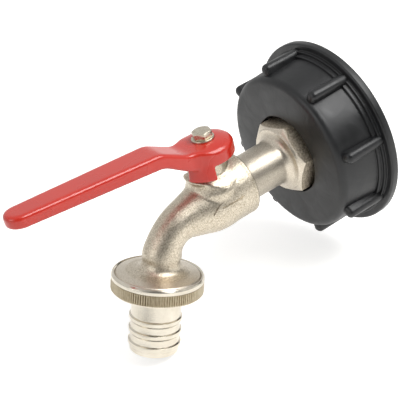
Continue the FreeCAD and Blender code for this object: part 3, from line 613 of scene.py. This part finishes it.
dressed("ball", polished_chrome())
dressed("stem", turned_brass())
ptfe = white_ptfe()
for node in ("seat_ring_inlet", "seat_ring_outlet", "thrust_washer", "body_seal"):
    dressed(node, ptfe)
for node in ("stem_o_ring_lower", "stem_o_ring_upper", "union_seal"):
    dressed(node, rubber)

# ---------------------------------------------------------------- lever
# A metal lever with a thick red powder coating: a slightly domed hub that sits on the stem's
# square, a ramp up to the long tapered arm, and a short skirt below the hub.
LEVER_VOXEL = 0.33
LEVER_SMOOTHING = 20
DOME_START = 4.8
DOME_DROP = 1.8
DOME_RAMP = 9.0
DOME_DEPTH = 7.3
DOME_CURVE = 1.7


def red_coating():
    """Thick red powder coating, baked on: glossy, saturated, with a faint orange peel."""
    material, tree, place = new_material("glossy_red_coating")
    peel = add(tree, "ShaderNodeTexNoise", {"Vector": place, "Scale": 1 / (1.6 * MM), "Detail": 2})
    cloud = add(tree, "ShaderNodeTexNoise", {"Vector": place, "Scale": 1 / (14 * MM), "Detail": 2})
    colour = add(tree, "ShaderNodeMix", {
        "Factor": cloud, "A": linear("#C22414"), "B": linear("#D0301E")}, data_type="RGBA")
    gloss = add(tree, "ShaderNodeMapRange", {
        "Value": cloud, "From Min": 0.3, "From Max": 0.7, "To Min": 0.24, "To Max": 0.32})
    skin_waves = add(tree, "ShaderNodeBump", {"Height": peel, "Distance": 0.03 * MM, "Strength": 0.7})
    skin = add(tree, "ShaderNodeBsdfPrincipled", {
        "Base Color": colour, "Roughness": gloss, "IOR": 1.52, "Coat Weight": 0.3,
        "Coat Roughness": 0.12, "Normal": skin_waves})
    add(tree, "ShaderNodeOutputMaterial", {"Surface": skin})
    return material


lever = modified(copy_of("lever"), "REMESH", mode="VOXEL", voxel_size=LEVER_VOXEL * MM)
modified(lever, "SMOOTH", factor=0.5, iterations=LEVER_SMOOTHING)
hub_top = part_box("screw_washer")[0].z
hub_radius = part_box("lever")[1].x - stem.translation.x
dome_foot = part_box("stem")[1].z - DOME_DEPTH * MM
# the hub's top falls away towards its rim, less and less towards the ramp
for vertex in lever.data.vertices:
    reach = (vertex.co - stem.translation).xy.length
    rim = max(0.0, reach - DOME_START * MM) / (hub_radius - DOME_START * MM)
    ramp = (stem.translation.x - vertex.co.x) / (DOME_RAMP * MM)
    flat = 1 - min(max(ramp, 0.0), 1.0)
    height = min(max((vertex.co.z - dome_foot) / (hub_top - dome_foot), 0.0), 1.0)
    vertex.co.z -= DOME_DROP * MM * min(rim, 1.0) ** DOME_CURVE * flat ** 2 * (3 - 2 * flat) * height
finished(lever, "coated_lever", red_coating(), "handle", "red_coating", "lever", angle=60)

# ---------------------------------------------------------------- lever screw and washer
# A zinc-plated hexagon screw with a chamfered head, and the flat washer under it that has
# begun to tarnish.
WASHER_HOLE = 2.15
SCREW_RADIUS = 1.95
SCREW_LEAD = 0.4
SCREW_FLATS = 7.0
SCREW_TURN = 10.0
SCREW_STEPS = 96


def zinc_plate():
    """Zinc-plated steel: pale and slightly clouded, with a soft metal gloss."""
    material, tree, place = new_material("zinc_plated_steel")
    cloud = add(tree, "ShaderNodeTexNoise", {"Vector": place, "Scale": 1 / (1.4 * MM), "Detail": 4})
    colour = add(tree, "ShaderNodeMix", {
        "Factor": cloud, "A": linear("#A79D89"), "B": linear("#DAD3C4")}, data_type="RGBA")
    gloss = add(tree, "ShaderNodeMapRange", {
        "Value": cloud, "From Min": 0.3, "From Max": 0.7, "To Min": 0.22, "To Max": 0.4})
    rough = add(tree, "ShaderNodeBump", {"Height": cloud, "Distance": 0.05 * MM, "Strength": 0.6})
    skin = add(tree, "ShaderNodeBsdfPrincipled", {
        "Base Color": colour, "Metallic": 1.0, "Roughness": gloss, "Normal": rough})
    add(tree, "ShaderNodeOutputMaterial", {"Surface": skin})
    return material


washer_low, washer_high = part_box("screw_washer")
washer_base = washer_low.z / MM
washer_top = washer_high.z / MM
washer_radius = washer_high.y / MM
screw_low, screw_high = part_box("lever_screw")
head_top = screw_high.z / MM
screw_tip = screw_low.z / MM
zinc = zinc_plate()
washer = turned([
    (WASHER_HOLE, washer_base), (washer_radius, washer_base, 0.15),
    (washer_radius, washer_top, 0.25), (WASHER_HOLE, washer_top)], stem, SCREW_STEPS)
finished(washer, "lever_washer", zinc, "handle", "zinc_steel", "screw_washer")
screw = turned([
    (0, screw_tip), (1.55, screw_tip), (SCREW_RADIUS, screw_tip + SCREW_LEAD),
    (SCREW_RADIUS, washer_top), (SCREW_FLATS, washer_top), (SCREW_FLATS, head_top - 2.0),
    (3.35, head_top - 0.12, 0.2), (2.9, head_top, 0.2), (0, head_top)], stem, SCREW_STEPS)
milled(screw, SCREW_FLATS, stem @ Matrix.Rotation(math.radians(SCREW_TURN - 30), 4, "Z"), 0.15)
finished(screw, "hexagon_screw", zinc, "handle", "zinc_steel", "lever_screw")

# ---------------------------------------------------------------- union nut
# The turned brass ring that holds the hose tail on the outlet, nickel plated: a polished
# bevel above a band of fine straight knurling for the fingers.
KNURL_TEETH = 116
KNURL_RADIUS = 18.05
KNURL_DEPTH = 0.45
KNURL_TOP = 20.9
UNION_BASE = 26.0
UNION_HOLE = 11.0
KNURL_END = UNION_BASE - 0.7
BAND_RADIUS = 17.5
UNION_BORE = 16.62
WEB_TOP = 24.8
TOOTH = 2 * math.pi / KNURL_TEETH


def bright_nickel():
    """Nickel plate over turned brass: bright, a little yellow, with rings from the lathe."""
    material, tree, place = new_material("bright_nickel_plate")
    along = add(tree, "ShaderNodeVectorMath", {0: place, 1: down}, operation="DOT_PRODUCT")
    rings = add(tree, "ShaderNodeTexNoise", {
        "W": along, "Scale": 1 / (0.22 * MM), "Detail": 2}, noise_dimensions="1D")
    patches = add(tree, "ShaderNodeTexNoise", {"Vector": place, "Scale": 1 / (4 * MM), "Detail": 3})
    colour = add(tree, "ShaderNodeMix", {
        "Factor": patches, "A": linear("#C0B8A8"), "B": linear("#E0DACD")}, data_type="RGBA")
    gloss = add(tree, "ShaderNodeMapRange", {
        "Value": patches, "From Min": 0.3, "From Max": 0.7, "To Min": 0.16, "To Max": 0.26})
    lines = add(tree, "ShaderNodeBump", {"Height": rings, "Distance": 0.02 * MM, "Strength": 0.8})
    skin = add(tree, "ShaderNodeBsdfPrincipled", {
        "Base Color": colour, "Metallic": 1.0, "Roughness": gloss, "Normal": lines})
    add(tree, "ShaderNodeOutputMaterial", {"Surface": skin})
    return material


def knurled_nickel():
    """Nickel plate over a knurled band: duller, and darker in colour over the whole band."""
    material, tree, place = new_material("knurled_nickel_plate")
    patches = add(tree, "ShaderNodeTexNoise", {"Vector": place, "Scale": 1 / (1.2 * MM), "Detail": 3})
    colour = add(tree, "ShaderNodeMix", {
        "Factor": patches, "A": linear("#8F836B"), "B": linear("#C6BBA4")}, data_type="RGBA")
    skin = add(tree, "ShaderNodeBsdfPrincipled", {
        "Base Color": colour, "Metallic": 1.0, "Roughness": 0.36})
    add(tree, "ShaderNodeOutputMaterial", {"Surface": skin})
    return material


union = turned([
    (UNION_BORE, COLLAR_TOP + 0.5), (17.0, COLLAR_TOP + 0.1, 0.1),
    (BAND_RADIUS, COLLAR_TOP + 0.1, 0.2), (KNURL_RADIUS, COLLAR_TOP + 0.9, 0.4),
    (KNURL_RADIUS, KNURL_TOP - 0.1, 0.2), (BAND_RADIUS, KNURL_TOP),
    (BAND_RADIUS, UNION_BASE, 0.3), (UNION_HOLE, UNION_BASE, 0.2), (UNION_HOLE, WEB_TOP),
    (UNION_BORE, WEB_TOP)], spout, NUT_STEPS)
bpy.ops.object.select_all(action="DESELECT")
bpy.ops.mesh.primitive_cylinder_add(vertices=KNURL_TEETH * 4, radius=KNURL_RADIUS * MM,
                                    depth=(KNURL_END - KNURL_TOP) * MM)
knurl = bpy.context.object


def in_groove(spot):
    """Whether a point of the band lies in the groove between two teeth."""
    return math.atan2(spot.y, spot.x) % TOOTH < TOOTH * 0.45


pick(knurl, "VERT", in_groove)
sunk = 1 - KNURL_DEPTH / KNURL_RADIUS
bpy.ops.transform.resize(value=(sunk, sunk, 1))
closed(knurl)
set_in(knurl, spout @ Matrix.Translation((0, 0, (KNURL_END + KNURL_TOP) / 2 * MM)))
joined([union, knurl])
nickel = bright_nickel()
finished(union, "knurled_union_nut", nickel, "union_nut", "bright_nickel", "union_nut", angle=25)
union.data.materials.append(knurled_nickel())
to_spout = spout.inverted()
for face in union.data.polygons:
    spot = to_spout @ face.center / MM
    if spot.z > KNURL_TOP - 0.05 and spot.xy.length > KNURL_RADIUS - KNURL_DEPTH - 0.1:
        face.material_index = 1

# ---------------------------------------------------------------- hose tail
# A turned brass tail, nickel plated, whose flange the union nut clamps on the outlet's seal.
# Three low barbs hold the hose, each with a sharp upper edge and a slope below it.
TAIL_RADIUS = 9.75
TAIL_BORE = 7.9
FLANGE_RADIUS = 15.9
TAIL_FLANGE = 1.3
SEAL_THICKNESS = 1.0
BARB_COUNT = 3
BARB_RADIUS = 10.4
BARB_RISE = 0.35
BARB_LAND = 1.3
BARB_RUN = 2.3
FIRST_BARB = 10.0
BARB_PITCH = 5.25
TAIL_LENGTH = 24.8
tail_top = collar_base + SEAL_THICKNESS
tail_seat = tail_top + TAIL_FLANGE
profile = [(TAIL_BORE, tail_top), (FLANGE_RADIUS, tail_top, 0.2), (FLANGE_RADIUS, tail_seat, 0.2),
           (TAIL_RADIUS, tail_seat)]
for index in range(BARB_COUNT):
    crest = UNION_BASE + FIRST_BARB + BARB_PITCH * index
    profile += [(TAIL_RADIUS, crest - BARB_RISE, 0.1), (BARB_RADIUS, crest, 0.15),
                (BARB_RADIUS, crest + BARB_LAND, 0.3), (TAIL_RADIUS, crest + BARB_RUN, 0.3)]
tail_end = UNION_BASE + TAIL_LENGTH
profile += [(TAIL_RADIUS, tail_end, 0.6), (TAIL_BORE, tail_end, 0.4)]
tail = turned(profile, spout, NUT_STEPS)
finished(tail, "barbed_hose_tail", nickel, "tail", "bright_nickel", "hose_tail", angle=40)

# ---------------------------------------------------------------- floor, light and camera
# A pale sweep under soft studio light: a large softbox above and in front, a weaker one at the
# left, pale walls behind, and the darker room on the camera's side.
FLOOR_SIZE = 12.0
FLOOR_GAP = 0.0002
FLOOR_GLOW = 0.62
centre = (cad_low + cad_high) / 2
bpy.ops.object.select_all(action="DESELECT")
bpy.ops.mesh.primitive_plane_add(size=FLOOR_SIZE, location=(centre.x, centre.y, cad_low.z - FLOOR_GAP))
floor = bpy.context.object
bpy.ops.object.mode_set(mode="EDIT")
bpy.ops.mesh.subdivide(number_cuts=6)
bpy.ops.object.mode_set(mode="OBJECT")
set_in(floor, floor.matrix_world.copy())
sweep, tree, _ = new_material("white_sweep")
rays = add(tree, "ShaderNodeLightPath")
seen = add(tree, "ShaderNodeMath", {0: rays.outputs["Is Camera Ray"], 1: rays.outputs["Is Glossy Ray"]},
           operation="MAXIMUM")
seen = add(tree, "ShaderNodeMath", {0: seen, 1: rays.outputs["Is Transmission Ray"]},
           operation="MAXIMUM")
glow = add(tree, "ShaderNodeMath", {0: seen, 1: FLOOR_GLOW}, operation="MULTIPLY")
skin = add(tree, "ShaderNodeBsdfPrincipled", {
    "Base Color": linear("#F2F1EE"), "Roughness": 0.8, "Emission Color": linear("#FFFFFF"),
    "Emission Strength": glow})
add(tree, "ShaderNodeOutputMaterial", {"Surface": skin})
floor.name = floor.data.name = "white_sweep_floor"
floor.data.materials.append(sweep)

# the room: bright behind the object, dark on the camera's side, and plain for soft light
FRONT = Vector((-0.48, -0.876, 0.05))
ROOM_BEHIND = 0.80
ROOM_IN_FRONT = 0.12
ROOM_FILL = 0.34
world = bpy.data.worlds.new("studio")
bpy.context.scene.world = world
world.use_nodes = True
tree = world.node_tree
tree.nodes.clear()
way = add(tree, "ShaderNodeTexCoord").outputs["Generated"]
facing = add(tree, "ShaderNodeVectorMath", {0: way, 1: FRONT}, operation="DOT_PRODUCT")
rays = add(tree, "ShaderNodeLightPath")
room = add(tree, "ShaderNodeMapRange", {
    "Value": facing, "From Min": 0.25, "From Max": 0.75, "To Min": ROOM_BEHIND,
    "To Max": ROOM_IN_FRONT},
    interpolation_type="SMOOTHSTEP")
lit = add(tree, "ShaderNodeMapRange", {
    "Value": rays.outputs["Is Diffuse Ray"], "From Min": 0, "From Max": 1, "To Min": room,
    "To Max": ROOM_FILL})
strength = add(tree, "ShaderNodeMapRange", {
    "Value": rays.outputs["Is Camera Ray"], "From Min": 0, "From Max": 1, "To Min": lit, "To Max": 1.0})
background = add(tree, "ShaderNodeBackground", {"Color": linear("#FFFFFF"), "Strength": strength})
add(tree, "ShaderNodeOutputWorld", {"Surface": background})


def softbox(name, way, distance, size, watts):
    """A square soft lamp that faces the object."""
    bpy.ops.object.light_add(type="AREA", location=centre + Vector(way).normalized() * distance)
    lamp = bpy.context.object
    lamp.name = name
    lamp.data.shape = "RECTANGLE"
    lamp.data.size, lamp.data.size_y = size
    lamp.data.energy = watts
    lamp.rotation_euler = Vector(way).to_track_quat("Z", "Y").to_euler()


softbox("key_softbox", (0.42, -0.50, 0.80), 0.75, (0.5, 0.4), 4.5)
softbox("left_softbox", (-0.9, -0.1, 0.5), 0.9, (0.5, 0.5), 1.6)

LENS = 97.2
VIEW_FROM = Vector((-0.24058, -0.31526, 0.20982))
VIEW_ALONG = Vector((0.41701, 0.75845, -0.50086))
LEAN = math.radians(-14.47)
bpy.ops.object.camera_add(location=VIEW_FROM)
camera = bpy.context.object
camera.rotation_mode = "QUATERNION"
camera.rotation_quaternion = VIEW_ALONG.to_track_quat("-Z", "Y") @ Quaternion((0, 0, 1), LEAN)
camera.data.lens = LENS
camera.data.sensor_width = 36
camera.data.clip_start, camera.data.clip_end = 0.01, 50
bpy.context.scene.camera = camera
bpy.context.scene.view_settings.view_transform = "Standard"
